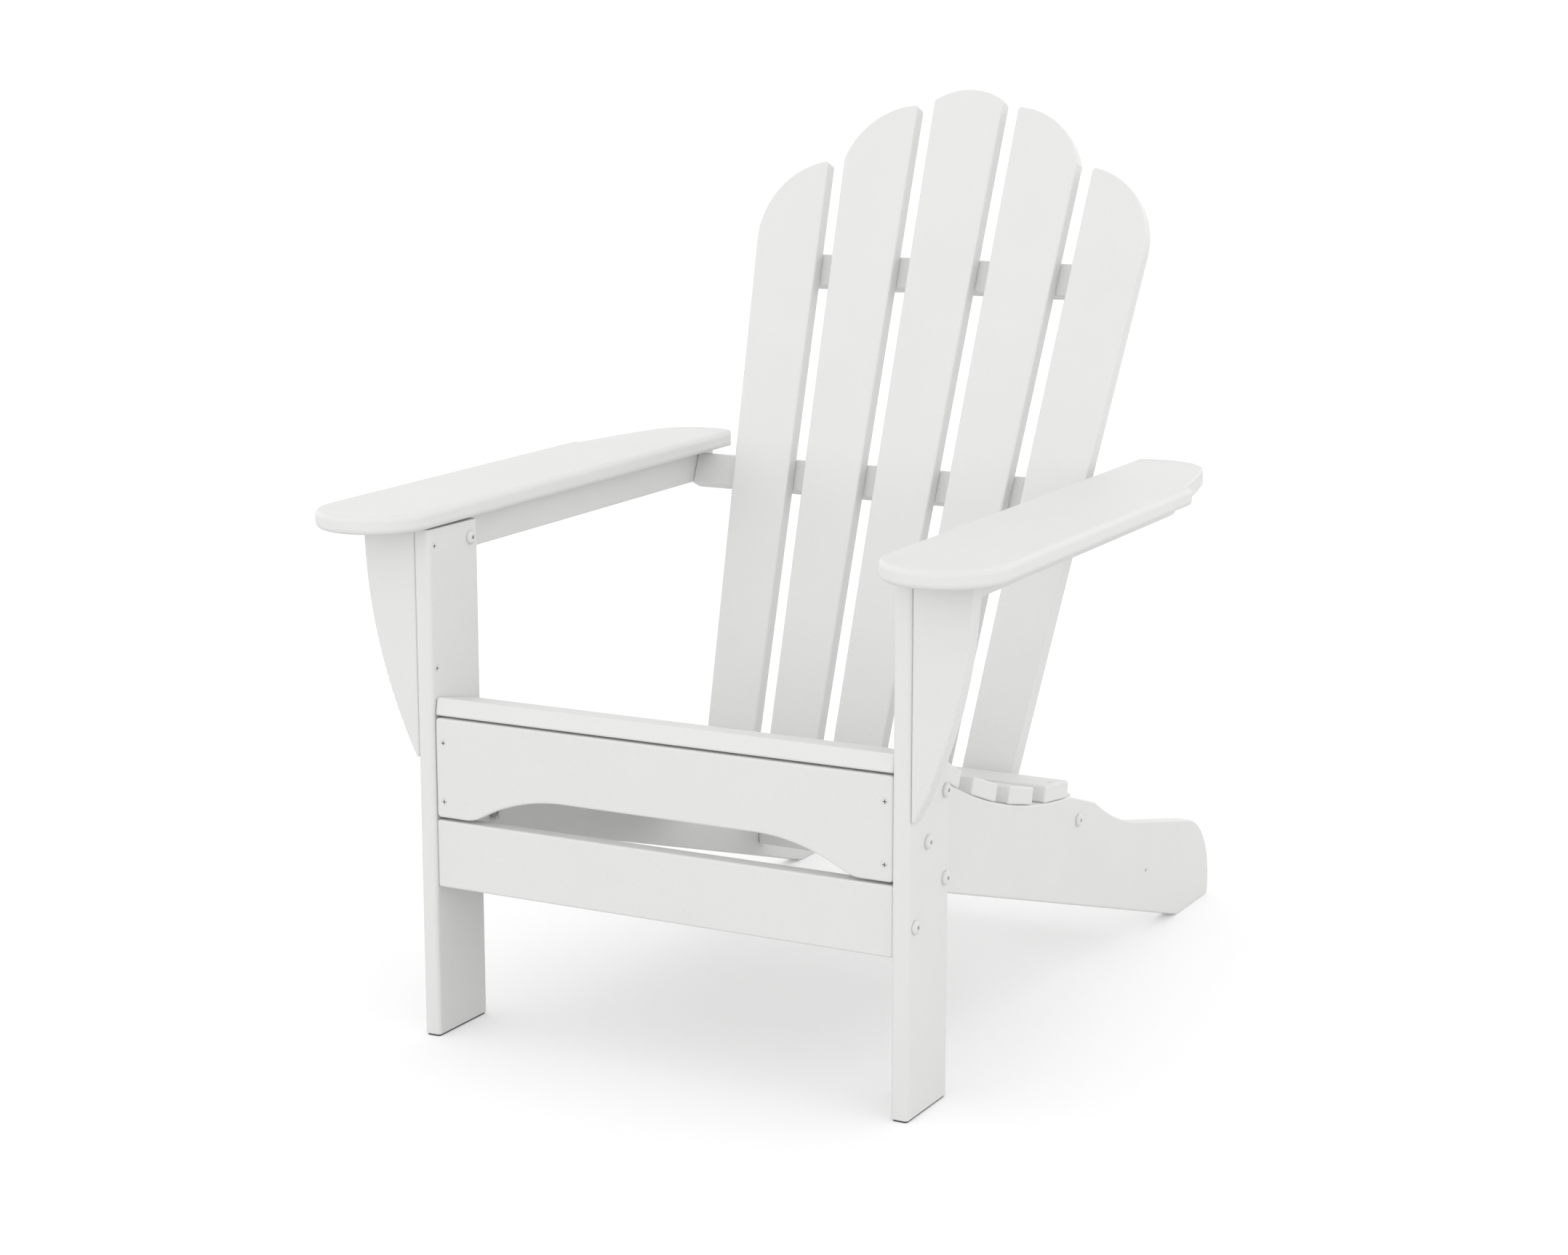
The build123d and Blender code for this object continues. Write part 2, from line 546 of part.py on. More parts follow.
# ---------------------------------------------------------------- seat
def seat_slat(index):
    """A straight slat across both stringers; the front one fits between the legs."""
    half = LEG_INNER - FIT if index == 0 else LEG_INNER
    blank = straight_board((-half, -SLAT_WIDTH / 2, 0), (half, SLAT_WIDTH / 2, BOARD))
    return drill(slat_frames[index] * blank, seat_screw_holes[2 * index : 2 * index + 2])


# ---------------------------------------------------------------- back
def slat_side(side, reach):
    """A back slat's straight edge, at a distance from the fan's apex along the slat's middle line."""
    return (side * (reach * tan(HALF_STEP) - BACK_GAP / 2 / cos(HALF_STEP)), reach)


def crown_end(centre, radius, side):
    """Where a slat's round top meets its straight edge on one side."""
    foot = slat_side(side, 0)
    along = (side * sin(HALF_STEP), cos(HALF_STEP))
    offset = (centre[0] - foot[0], centre[1] - foot[1])
    run = offset[0] * along[0] + offset[1] * along[1]
    away = abs(offset[0] * along[1] - offset[1] * along[0])
    run = run + sqrt(max(0.0, radius**2 - away**2))
    return (foot[0] + along[0] * run, foot[1] + along[1] * run)


def back_slat(index):
    """One tapered slat, counted from -2 on the left to 2 on the right."""
    inward = -1 if index > 0 else 1
    across, down = (CENTRE_CROWN, INNER_CROWN, OUTER_CROWN)[abs(index)]
    centre = (inward * across, FAN_APEX + CROWN_UP - down)
    if abs(index) == 2:
        edge_x = abs(slat_side(1, centre[1])[0])
        radius = (across + edge_x) * cos(HALF_STEP)
    else:
        radius = (CENTRE_CROWN_RADIUS, INNER_CROWN_RADIUS)[abs(index)]
    ends = {side: crown_end(centre, radius, side) for side in (-1, 1)}
    turns = [atan2(ends[side][0] - centre[0], ends[side][1] - centre[1]) for side in (-1, 1)]
    middle = sum(turns) / 2
    top = (centre[0] + radius * sin(middle), centre[1] + radius * cos(middle))
    start = FAN_APEX + BACK_SLAT_START
    low_left, low_right = slat_side(-1, start), slat_side(1, start)
    outline = [
        Polyline(ends[-1], low_left, low_right, ends[1]),
        ThreePointArc(ends[1], top, ends[-1]),
    ]
    sharp = [low_left, low_right, ends[inward]] if index else [low_left, low_right, ends[-1], ends[1]]
    face = corners(make_face(outline), sharp, CORNER)
    blank = Pos(0, -FAN_APEX, -BOARD) * Rot(0, 0, -FAN_STEP * index) * sawn_board(face)
    # Each list of screw places has two for every slat, in the same order.
    first = 2 * (index + 2)
    rows = (upper_screw_holes, middle_screw_holes, lower_screw_holes)
    holes = [hole for row in rows for hole in row[first : first + 2]]
    return drill(BACK * blank, holes)


def cross_member(half, start, height, thickness=BOARD):
    """A straight board across the back slats' rear faces."""
    blank = straight_board((-half, start, -BOARD - thickness), (half, start + height, -BOARD))
    return BACK * blank


def upper_back_brace():
    board = cross_member(UPPER_BRACE_LENGTH / 2, UPPER_BRACE_START, BRACE_HEIGHT)
    return drill(board, upper_screw_holes)


def middle_back_brace():
    board = cross_member(LEG_OUTER, MIDDLE_BRACE_START, BRACE_HEIGHT)
    return drill(board, middle_screw_holes + middle_brace_bolt_holes)


def lower_back_rail():
    board = cross_member(STRINGER_INNER, LOWER_RAIL_START, LOWER_RAIL_HEIGHT, LOWER_RAIL_THICKNESS)
    return drill(board, lower_screw_holes + lower_rail_bolt_holes)


# ---------------------------------------------------------------- arms
def arm():
    """The wide arm: a half-round nose, straight rounded edges, and a tail that tapers in from a small step."""
    half = ARM_WIDTH / 2
    middle = ARM_INNER + half
    nose_y = half - ARM_NOSE
    # The blank has its long edges and its nose rounded over before the tail is sawn.
    blank_back = ARM_BACK + ARM_EASE
    outline = [
        ThreePointArc((ARM_INNER, nose_y), (middle, -ARM_NOSE), (ARM_OUTER, nose_y)),
        Polyline((ARM_OUTER, nose_y), (ARM_OUTER, blank_back), (ARM_INNER, blank_back), (ARM_INNER, nose_y)),
    ]
    blank = extrude(make_face(outline), BOARD)
    blank = fillet([edge for edge in flat_edges(blank) if edge.center().Y < ARM_BACK], ARM_EASE)
    return drill(ARM * (blank & arm_cutout()), right(arm_screw_holes))


def arm_cutout():
    """What the saw leaves of the arm: everything ahead of the tail, and the tail's own outline with eased edges."""
    inner = ARM_INNER - KERF
    outer = ARM_OUTER + ARM_EASE
    front = -ARM_NOSE - ARM_EASE
    round_x = ARM_INNER + TAIL_ROUND_X
    round_y = ARM_BACK - TAIL_ROUND
    inner_back = (inner, round_y + sqrt(TAIL_ROUND**2 - (round_x - inner) ** 2))
    taper_start = (ARM_OUTER - TAIL_STEP, TAIL_STEP_Y)
    # The taper is an arc that starts at its own angle and runs into the round end, which it touches from outside.
    start = radians(TAIL_START_ANGLE)
    gap_x, gap_y = taper_start[0] - round_x, round_y - taper_start[1]
    toward = gap_x * cos(start) - gap_y * sin(start)
    radius = (gap_x**2 + gap_y**2 - TAIL_ROUND**2) / (2 * (toward - TAIL_ROUND))
    centre = (taper_start[0] - radius * cos(start), taper_start[1] - radius * sin(start))
    end = atan2(round_y - centre[1], round_x - centre[0])
    blend = (centre[0] + radius * cos(end), centre[1] + radius * sin(end))
    turn = (start + end) / 2
    taper_middle = (centre[0] + radius * cos(turn), centre[1] + radius * sin(turn))
    outline = [
        Polyline(inner_back, (inner, front), (outer, front), (outer, TAIL_STEP_Y), taper_start),
        ThreePointArc(taper_start, taper_middle, blend),
        ThreePointArc(blend, (round_x, ARM_BACK), inner_back),
    ]
    face = corners(make_face(outline), [inner_back], TAIL_CORNER)
    solid = extrude(face, BOARD)
    return fillet([edge for edge in flat_edges(solid) if edge.center().Y > TAIL_STEP_Y + EASE], EASE)


def arm_rail():
    """The board on edge under the arm, on the leg's outer face."""
    face = Plane.YZ * make_face(
        Polyline((BRACKET_BACK, -RAIL_HEIGHT), (RAIL_BACK, -RAIL_HEIGHT), (RAIL_BACK, 0), (BRACKET_BACK, 0), close=True)
    )
    blank = extrude(face, RAIL_THICKNESS)
    low_back = blank.edges().filter_by(Axis.X).sort_by_distance((0, RAIL_BACK, -RAIL_HEIGHT))[0]
    blank = fillet(low_back, RAIL_CORNER)
    blank = ease_loops(blank, EASE, Axis.X)
    board = ARM * Pos(LEG_OUTER, 0, 0) * blank
    return drill(board, right(arm_rail_bolt_holes + middle_brace_bolt_holes + arm_screw_holes))


def arm_bracket():
    """The curved board in front of the rail, which holds up the arm's nose."""
    top = ARM_HEIGHT + BRACKET_SETBACK * sin(radians(ARM_RISE))
    radius = (BRACKET_WIDTH**2 + BRACKET_DROP**2) / (2 * BRACKET_WIDTH)
    outer = LEG_OUTER + BRACKET_WIDTH
    half_turn = atan2(BRACKET_DROP, radius - BRACKET_WIDTH) / 2
    bulge = (outer - radius * (1 - cos(half_turn)), top - radius * sin(half_turn))
    tip = (LEG_OUTER, top - BRACKET_DROP)
    outline = [
        Polyline(tip, (LEG_OUTER, top), (outer, top)),
        ThreePointArc((outer, top), bulge, tip),
    ]
    face = corners(make_face(outline), [tip, (LEG_OUTER, top), (outer, top)], CORNER / 2)
    board = FRONT * Pos(0, 0, -BRACKET_BACK) * sawn_board(face)
    return drill(board, right(bracket_screw_holes))


# ---------------------------------------------------------------- the whole chair
def chair():
    """Every piece by its name; a group of identical fasteners is one list of solids."""
    nodes = {}
    for name, piece in {
        "front_leg": front_leg(),
        "leg_glide": leg_glide(),
        "seat_stringer": seat_stringer(),
        "arm": arm(),
        "arm_rail": arm_rail(),
        "arm_bracket": arm_bracket(),
    }.items():
        nodes[f"{name}_right"] = piece
        nodes[f"{name}_left"] = other_side(piece)
    nodes["front_stretcher"] = front_stretcher()
    nodes["front_apron"] = front_apron()
    nodes["rear_stretcher"] = rear_stretcher()
    nodes["seat_slat_front"] = seat_slat(0)
    for index in range(1, SEAT_SLATS + 1):
        nodes[f"seat_slat_{index + 1}"] = seat_slat(index)
    names = ("outer_left", "inner_left", "centre", "inner_right", "outer_right")
    for index, name in enumerate(names):
        nodes[f"back_slat_{name}"] = back_slat(index - 2)
    nodes["upper_back_brace"] = upper_back_brace()
    nodes["middle_back_brace"] = middle_back_brace()
    nodes["lower_back_rail"] = lower_back_rail()

    past_grip = WASHER_THICKNESS + NUT_HEIGHT + BOLT_TIP
    for name, places, grip in (("leg", leg_bolt_places, leg_grip), ("arm_rail", arm_rail_bolt_places, arm_grip)):
        nodes[f"{name}_bolts"] = put(bolt(grip + past_grip), places)
        nodes[f"{name}_bolt_washers"] = put(washer(grip), places)
        nodes[f"{name}_bolt_nuts"] = put(nut(grip + WASHER_THICKNESS), places)
    for name, places, outer in (
        ("stretcher", stretcher_bolt_places, BOARD),
        ("lower_rail", lower_rail_bolt_places, BOARD),
        ("middle_brace", middle_brace_bolt_places, RAIL_THICKNESS),
    ):
        nodes[f"{name}_bolts"] = put(bolt(outer + END_BOLT_DEPTH), places)
        nodes[f"{name}_inserts"] = put(insert(outer), places)
    nodes["apron_screws"] = put(screw(LONG_SCREW), apron_screw_places)
    nodes["bracket_screws"] = put(screw(LONG_SCREW), bracket_screw_places)
    nodes["rear_stretcher_screws"] = put(screw(LONG_SCREW), rear_stretcher_screw_places)
    nodes["seat_slat_screws"] = put(screw(SEAT_SCREW), seat_screw_places)
    nodes["back_slat_screws"] = put(screw(BACK_SCREW), upper_screw_places + middle_screw_places)
    nodes["lower_rail_screws"] = put(screw(RAIL_SCREW), lower_screw_places)
    nodes["arm_screws"] = put(screw(ARM_SCREW), arm_screw_places)
    return {name: Compound(solid if isinstance(solid, list) else solid.solids()) for name, solid in nodes.items()}


def place(nodes):
    """Moves the chair so that the origin is on the ground, under the middle of its outline."""
    middle = Compound(list(nodes.values())).bounding_box().center()
    return {name: Pos(-middle.X, -middle.Y, 0) * node for name, node in nodes.items()}


os.makedirs("parts", exist_ok=True)
for name, node in place(chair()).items():
    export_step(node, f"parts/{name}.step")
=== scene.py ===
# %% [markdown]
# # A white adirondack chair, finished in Blender
# The chair is a kit of white plastic boards held with bolts and screws. Its shape is already
# exact, because every board, bolt and screw comes from the CAD model as its own object in
# metres. Blender's work here is the look: what the boards and the hardware are made of, the
# studio and the camera. We start by loading the CAD pieces. They stand at the origin with their
# place in their meshes, and they are never moved.

import math

import bpy
from mathutils import Matrix, Vector

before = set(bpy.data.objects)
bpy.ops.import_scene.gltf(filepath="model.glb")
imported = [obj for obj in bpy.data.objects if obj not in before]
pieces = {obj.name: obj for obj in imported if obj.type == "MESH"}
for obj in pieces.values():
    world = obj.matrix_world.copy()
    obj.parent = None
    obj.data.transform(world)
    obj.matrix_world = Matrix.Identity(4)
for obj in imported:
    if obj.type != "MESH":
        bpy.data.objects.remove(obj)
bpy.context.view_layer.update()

# %% [markdown]
# ## Sort the pieces
# A board has a long direction, in which the plastic was pushed out of the die, and two broad
# faces. Its fine lines run the long way, so each board needs to know which way it lies. The back
# slats and the seat slats lean by their own angles. An angle could be typed in for each, but it
# can also be measured: the broad faces are the largest flat area of the mesh, so the normal that
# holds the most area is the way the board faces. That keeps the finish right even when the CAD
# changes.

# %% Find which way each board faces


def pieces_of(slot):
    """The names of the pieces whose finish the record calls by this slot name."""
    return [name for name, piece in pieces.items() if piece.material_slots[0].name == slot]


boards = pieces_of("plastic_lumber")


def broad_side(name):
    """The unit normal of a board's broad faces, from the area that faces each way."""
    area = {}
    for face in pieces[name].data.polygons:
        way = face.normal if sum(face.normal) > 0 else -face.normal
        key = tuple(round(part, 2) for part in way)
        total, middle = area.get(key, (0.0, way * 0.0))
        area[key] = (total + face.area, middle + way * face.area)
    return max(area.values(), key=lambda pair: pair[0])[1].normalized()


faces = {name: broad_side(name) for name in boards}
for name in sorted(boards)[:6]:
    print(name, "faces", [round(part, 3) for part in faces[name]])

# %% [markdown]
# The long direction follows from the job that the board does. Slats, stretchers, the apron and
# the braces run from side to side, legs and brackets stand up, and arms, rails and stringers run
# from front to back. A back slat runs up the lean of the back, at right angles to its broad
# face.

# %% Find which way each board runs
ACROSS = Vector((1, 0, 0))
ALONG = Vector((0, 1, 0))
UP = Vector((0, 0, 1))


def long_way(name):
    """The unit direction in which a board's fine lines run."""
    if name.startswith("back_slat"):
        return ACROSS.cross(faces[name]).normalized()
    if name.startswith(("front_leg", "arm_bracket")):
        return UP
    if name.startswith(("arm_", "seat_stringer")):
        return ALONG
    return ACROSS


def board_turn(name):
    """The Mapping turn that lays a board's length along X and its broad face along Z."""
    length = long_way(name)
    face = faces[name]
    width = face.cross(length).normalized()
    return Matrix((length, width, length.cross(width))).to_euler()


lays = {}
for name in sorted(boards):
    turn = tuple(round(math.degrees(angle), 1) for angle in board_turn(name))
    lays.setdefault(turn, []).append(name)
print(len(boards), "boards lie in", len(lays), "ways")

# %% [markdown]
# ## Helpers for building node trees
# Every finish is a small tree of nodes, and the same few steps come back in each. A helper for
# each step keeps the cells short: placing a node, linking, doing a sum, and turning one range of
# numbers into another. A node group is a tree with named inputs and outputs that several
# materials can share.

# %% Node helpers


def place(tree, kind, **values):
    """Add a node and set its settings and unlinked inputs, given as name=value."""
    node = tree.nodes.new("ShaderNode" + kind)
    for name, value in values.items():
        if hasattr(node, name):
            setattr(node, name, value)
        else:
            node.inputs[name.replace("_", " ")].default_value = value
    return node


def join(tree, *pairs):
    """Link each pair of (output, input)."""
    for start, end in pairs:
        tree.links.new(start, end)


def new_group(title, inputs, outputs):
    """A node group with sockets given as (name, kind, starting value)."""
    group = bpy.data.node_groups.new(title, "ShaderNodeTree")
    for name, kind, value in inputs:
        socket = group.interface.new_socket(name, in_out="INPUT", socket_type="NodeSocket" + kind)
        if value is not None:
            socket.default_value = value
    for name, kind in outputs:
        group.interface.new_socket(name, in_out="OUTPUT", socket_type="NodeSocket" + kind)
    return group, group.nodes.new("NodeGroupInput"), group.nodes.new("NodeGroupOutput")


def feed(tree, socket, thing):
    """Link an output to a socket, or set the socket to a plain number or colour."""
    if isinstance(thing, bpy.types.NodeSocket):
        tree.links.new(thing, socket)
    else:
        socket.default_value = thing


def sum_up(tree, operation, first, second=0.0):
    """A Math node on two things, each an output or a number."""
    node = place(tree, "Math", operation=operation)
    feed(tree, node.inputs[0], first)
    feed(tree, node.inputs[1], second)
    return node.outputs[0]


def ramp(tree, thing, start=(0.0, 1.0), end=(0.0, 1.0), kind="LINEAR"):
    """Turn the range start of thing into the range end, evenly or with soft ends."""
    node = place(tree, "MapRange", interpolation_type=kind)
    for name, value in zip(("From Min", "From Max", "To Min", "To Max"), start + end):
        node.inputs[name].default_value = value
    feed(tree, node.inputs["Value"], thing)
    return node.outputs[0]


# %% [markdown]
# ## The skin of an extruded board
# Recycled polyethylene leaves the die with very faint draw lines and a fine pebble on top, far
# too small to model. Both could be painted images, but noise textures stay sharp at any distance
# and wrap round every edge. The draw lines are noise squeezed across the board, and the pebble
# is plain noise at half a millimetre. One group makes both, and gives a height that a Bump node
# turns into relief.

# %% Group: extruded skin
LINES_PER_METRE = 900.0
LINE_STRETCH = 40.0
PEBBLES_PER_LINE = 2.2
LINE_SHARE = 0.45  # of the height, and the pebble has the rest


def make_extruded_skin():
    """Draw lines, pebble, and the height of the two together."""
    group, given, made = new_group(
        "extruded_skin",
        [
            ("Board Place", "Vector", None),
            ("Lines per Metre", "Float", LINES_PER_METRE),
            ("Stretch", "Float", LINE_STRETCH),
        ],
        [("Lines", "Float"), ("Pebble", "Float"), ("Height", "Float")],
    )
    squeeze = place(group, "CombineXYZ", Y=1.0, Z=1.0)
    shape = place(group, "VectorMath", operation="MULTIPLY")
    lines = place(group, "TexNoise", Detail=3.0, Roughness=0.55)
    pebble = place(group, "TexNoise", Detail=2.0, Roughness=0.5)
    pebbles = sum_up(group, "MULTIPLY", given.outputs["Lines per Metre"], PEBBLES_PER_LINE)
    join(
        group,
        (sum_up(group, "DIVIDE", 1.0, given.outputs["Stretch"]), squeeze.inputs["X"]),
        (given.outputs["Board Place"], shape.inputs[0]),
        (squeeze.outputs[0], shape.inputs[1]),
        (shape.outputs[0], lines.inputs["Vector"]),
        (given.outputs["Lines per Metre"], lines.inputs["Scale"]),
        (given.outputs["Board Place"], pebble.inputs["Vector"]),
        (pebbles, pebble.inputs["Scale"]),
        (lines.outputs[0], made.inputs["Lines"]),
        (pebble.outputs[0], made.inputs["Pebble"]),
    )
    low = sum_up(group, "MULTIPLY", lines.outputs[0], LINE_SHARE)
    high = sum_up(group, "MULTIPLY", pebble.outputs[0], 1.0 - LINE_SHARE)
    join(group, (sum_up(group, "ADD", low, high), made.inputs["Height"]))
    return group


extruded_skin = make_extruded_skin()
print("made group", extruded_skin.name)

# %% [markdown]
# ## Cloudy colour
# The plastic is shredded bottles with white pigment, never mixed perfectly. Under close light a
# board has soft pale clouds a hand wide and small grey-white flecks. Each is noise of its own
# size. The flecks are rare, so their noise is cut off sharply with a Map Range node.

# %% Group: pigment clouds
CLOUD_SIZE = 0.09
FLECK_SIZE = 0.0016
RARE_FLECKS = (0.66, 0.78)  # noise below the first has no fleck, above the second a full one


def make_pigment_clouds():
    """Soft clouds a hand wide, and rare flecks."""
    group, given, made = new_group(
        "pigment_clouds",
        [
            ("Board Place", "Vector", None),
            ("Cloud Size", "Float", CLOUD_SIZE),
            ("Fleck Size", "Float", FLECK_SIZE),
        ],
        [("Clouds", "Float"), ("Flecks", "Float")],
    )
    clouds = place(group, "TexNoise", Detail=2.0, Roughness=0.6)
    flecks = place(group, "TexNoise", Detail=1.0)
    join(
        group,
        (given.outputs["Board Place"], clouds.inputs["Vector"]),
        (given.outputs["Board Place"], flecks.inputs["Vector"]),
        (sum_up(group, "DIVIDE", 1.0, given.outputs["Cloud Size"]), clouds.inputs["Scale"]),
        (sum_up(group, "DIVIDE", 1.0, given.outputs["Fleck Size"]), flecks.inputs["Scale"]),
        (clouds.outputs[0], made.inputs["Clouds"]),
    )
    rare = ramp(group, flecks.outputs[0], RARE_FLECKS, kind="SMOOTHSTEP")
    join(group, (rare, made.inputs["Flecks"]))
    return group


pigment_clouds = make_pigment_clouds()
print("made group", pigment_clouds.name)

# %% [markdown]
# ## Cut edges
# Where a saw or a router has been, the skin is gone: ends, sawn curves and rounded edges are a
# little smoother and brighter than the broad faces, and hands polish them further. Marking those
# edges by hand would take long, but the normal already tells: on a broad face it points straight
# out of the board, on an edge it doesn't. The group compares the two and gives 0 on the face and
# 1 on the edge.

# %% Group: cut edges
FACE_TO_EDGE = (0.995, 0.72)  # how far a normal agrees with the board's, from face to edge


def make_cut_edges():
    """A mask that is 0 on a board's broad faces and 1 on its edges."""
    group, given, made = new_group(
        "cut_edges", [("Board Face", "Vector", None)], [("Mask", "Float")]
    )
    normal = place(group, "NewGeometry")
    compare = place(group, "VectorMath", operation="DOT_PRODUCT")
    join(
        group,
        (normal.outputs["Normal"], compare.inputs[0]),
        (given.outputs["Board Face"], compare.inputs[1]),
    )
    agrees = sum_up(group, "ABSOLUTE", compare.outputs["Value"])
    mask = ramp(group, agrees, FACE_TO_EDGE, kind="SMOOTHSTEP")
    join(group, (mask, made.inputs["Mask"]))
    return group


cut_edges = make_cut_edges()
print("made group", cut_edges.name)

# %% [markdown]
# ## The white board
# Now the groups come together in one material. The colour starts as pigment clouds between two
# close whites, the flecks darken it by a hair, and the cut edges lighten it. The pebble sets the
# roughness, which drops on the cut edges, and the height of the skin goes through a Bump node,
# measured in real millimetres. A board's place is turned first by a Mapping node so that X runs
# along its length. A few more helpers come first, because all four finishes of the chair start,
# shine and end alike.

# %% Helpers for the finishes


def start_finish(title):
    """A new material, with its tree, its shader and the output for the place on the piece."""
    material = bpy.data.materials.new(title)
    material.use_nodes = True
    tree = material.node_tree
    return material, tree, tree.nodes["Principled BSDF"], place(tree, "TexCoord").outputs["Object"]


def add_relief(tree, shader, height, strength, depth):
    """Bump of this depth in metres, from an output that gives the height."""
    relief = place(tree, "Bump", Strength=strength, Distance=depth)
    join(tree, (height, relief.inputs["Height"]), (relief.outputs[0], shader.inputs["Normal"]))


def dress(names, finish):
    """Give the finish to the pieces that are named."""
    for name in names:
        pieces[name].material_slots[0].material = finish


def use_group(tree, group, **values):
    """Place a node group in a material with its own values."""
    node = place(tree, "Group", node_tree=group)
    for name, value in values.items():
        node.inputs[name.replace("_", " ")].default_value = value
    return node


def blend_colours(tree, share, first, second):
    """A colour Mix node, with each colour an output or a plain colour."""
    node = place(tree, "Mix", data_type="RGBA")
    join(tree, (share, node.inputs[0]))
    feed(tree, node.inputs[6], first)
    feed(tree, node.inputs[7], second)
    return node.outputs[2]


print("four finishes to make, for", len(pieces), "pieces")

# %% Material: white board
WHITE_LOW = (0.685, 0.685, 0.678, 1.0)
WHITE_HIGH = (0.715, 0.715, 0.708, 1.0)
FLECK = (0.635, 0.635, 0.626, 1.0)
CUT_WHITE = (0.712, 0.712, 0.705, 1.0)
CUT_SHARE = 0.6  # of the cut white on an edge
BOARD_ROUGHNESS = (0.50, 0.64)  # in the pebble's hollows and on its tops
CUT_POLISH = 0.10  # how much smoother an edge is
BOARD_RELIEF = 0.35
BOARD_RELIEF_DEPTH = 0.00025
PLASTIC_IOR = 1.5


def white_board(title, turn, face):
    """White plastic lumber for boards that lie with this turn and this broad face."""
    material, tree, shader, place_on = start_finish(title)
    turned = place(tree, "Mapping")
    turned.inputs["Rotation"].default_value = turn
    skin = use_group(tree, extruded_skin)
    pigment = use_group(tree, pigment_clouds)
    edges = use_group(tree, cut_edges, Board_Face=face)
    join(
        tree,
        (place_on, turned.inputs["Vector"]),
        (turned.outputs[0], skin.inputs["Board Place"]),
        (turned.outputs[0], pigment.inputs["Board Place"]),
    )
    white = blend_colours(tree, pigment.outputs["Clouds"], WHITE_LOW, WHITE_HIGH)
    flecked = blend_colours(tree, pigment.outputs["Flecks"], white, FLECK)
    worn = sum_up(tree, "MULTIPLY", edges.outputs["Mask"], CUT_SHARE)
    grip = ramp(tree, skin.outputs["Pebble"], end=BOARD_ROUGHNESS)
    polish = sum_up(tree, "MULTIPLY", edges.outputs["Mask"], CUT_POLISH)
    join(
        tree,
        (blend_colours(tree, worn, flecked, CUT_WHITE), shader.inputs["Base Color"]),
        (sum_up(tree, "SUBTRACT", grip, polish), shader.inputs["Roughness"]),
    )
    add_relief(tree, shader, skin.outputs["Height"], BOARD_RELIEF, BOARD_RELIEF_DEPTH)
    shader.inputs["IOR"].default_value = PLASTIC_IOR
    return material


for number, (turn, names) in enumerate(sorted(lays.items())):
    angles = [math.radians(angle) for angle in turn]
    finish = white_board(f"white_board_{number}", angles, faces[names[0]])
    dress(names, finish)
    print(finish.name, "on", ", ".join(names))

# %% [markdown]
# ## White coated hardware
# The bolts and screws are steel with a baked white coat, so that they vanish against the boards.
# The coat is smoother than plastic, with a slight orange peel, and a driver leaves small bright
# marks at the rim of its socket. Pointiness tells rims from flats on such finely meshed pieces,
# and noise breaks the rims up so that only some of them are marked. The sockets and the line
# where a head meets its board get painted shade: an Ambient Occlusion node finds such hollows
# within two millimetres and darkens the coat there.

# %% Material: white coated hardware
COAT_LOW = (0.66, 0.66, 0.65, 1.0)
COAT_HIGH = (0.71, 0.71, 0.70, 1.0)
PEEL_GRAIN = 900.0
PATCH_GRAIN = 260.0
# Painted shade: the colour that the coat darkens to in sockets and round the heads.
PAINTED_HOLLOW_SHADE = (0.15, 0.15, 0.15, 1.0)
BARE_STEEL = (0.52, 0.52, 0.53, 1.0)
RIM_SHARPNESS = (0.56, 0.68)  # pointiness of a flat and of a rim
WORN_PATCHES = (0.56, 0.64)
HOLLOW_REACH = 0.0022  # in metres
HOLLOW_TO_OPEN = (0.20, 0.80)
COAT_ROUGHNESS = (0.30, 0.44)
COAT_RELIEF = 0.25
COAT_RELIEF_DEPTH = 0.0001


def coated_hardware():
    """White coat with orange peel, marked rims and painted shade in the hollows."""
    material, tree, shader, place_on = start_finish("white_coat")
    peel = place(tree, "TexNoise", Scale=PEEL_GRAIN, Detail=2.0)
    patches = place(tree, "TexNoise", Scale=PATCH_GRAIN, Detail=3.0)
    shape = place(tree, "NewGeometry")
    painted_shade_probe = place(tree, "AmbientOcclusion", samples=8, Distance=HOLLOW_REACH)
    join(tree, (place_on, peel.inputs["Vector"]), (place_on, patches.inputs["Vector"]))
    rim = ramp(tree, shape.outputs["Pointiness"], RIM_SHARPNESS, kind="SMOOTHSTEP")
    some = ramp(tree, patches.outputs[0], WORN_PATCHES, kind="SMOOTHSTEP")
    bare = sum_up(tree, "MULTIPLY", rim, some)
    painted_shade_free = ramp(tree, painted_shade_probe.outputs["AO"], HOLLOW_TO_OPEN, kind="SMOOTHSTEP")
    coat = blend_colours(tree, patches.outputs[0], COAT_LOW, COAT_HIGH)
    # Painted shade: the coat darkens in the hollows that the Ambient Occlusion node finds.
    coat = blend_colours(tree, painted_shade_free, PAINTED_HOLLOW_SHADE, coat)
    join(
        tree,
        (blend_colours(tree, bare, coat, BARE_STEEL), shader.inputs["Base Color"]),
        (bare, shader.inputs["Metallic"]),
        (ramp(tree, peel.outputs[0], end=COAT_ROUGHNESS), shader.inputs["Roughness"]),
    )
    add_relief(tree, shader, peel.outputs[0], COAT_RELIEF, COAT_RELIEF_DEPTH)
    return material


coated = pieces_of("coated_hardware")
dress(coated, coated_hardware())
print("white coat on", len(coated), "sets of bolts and screws")

# %% [markdown]
# ## Plain stainless hardware
# Nuts, washers and threaded inserts sit inside the joints and stay bare. Turned stainless shows
# fine rings and small dull patches. Stretched noise gives the rings, and the same noise moves
# the roughness, so that light breaks up over the metal.

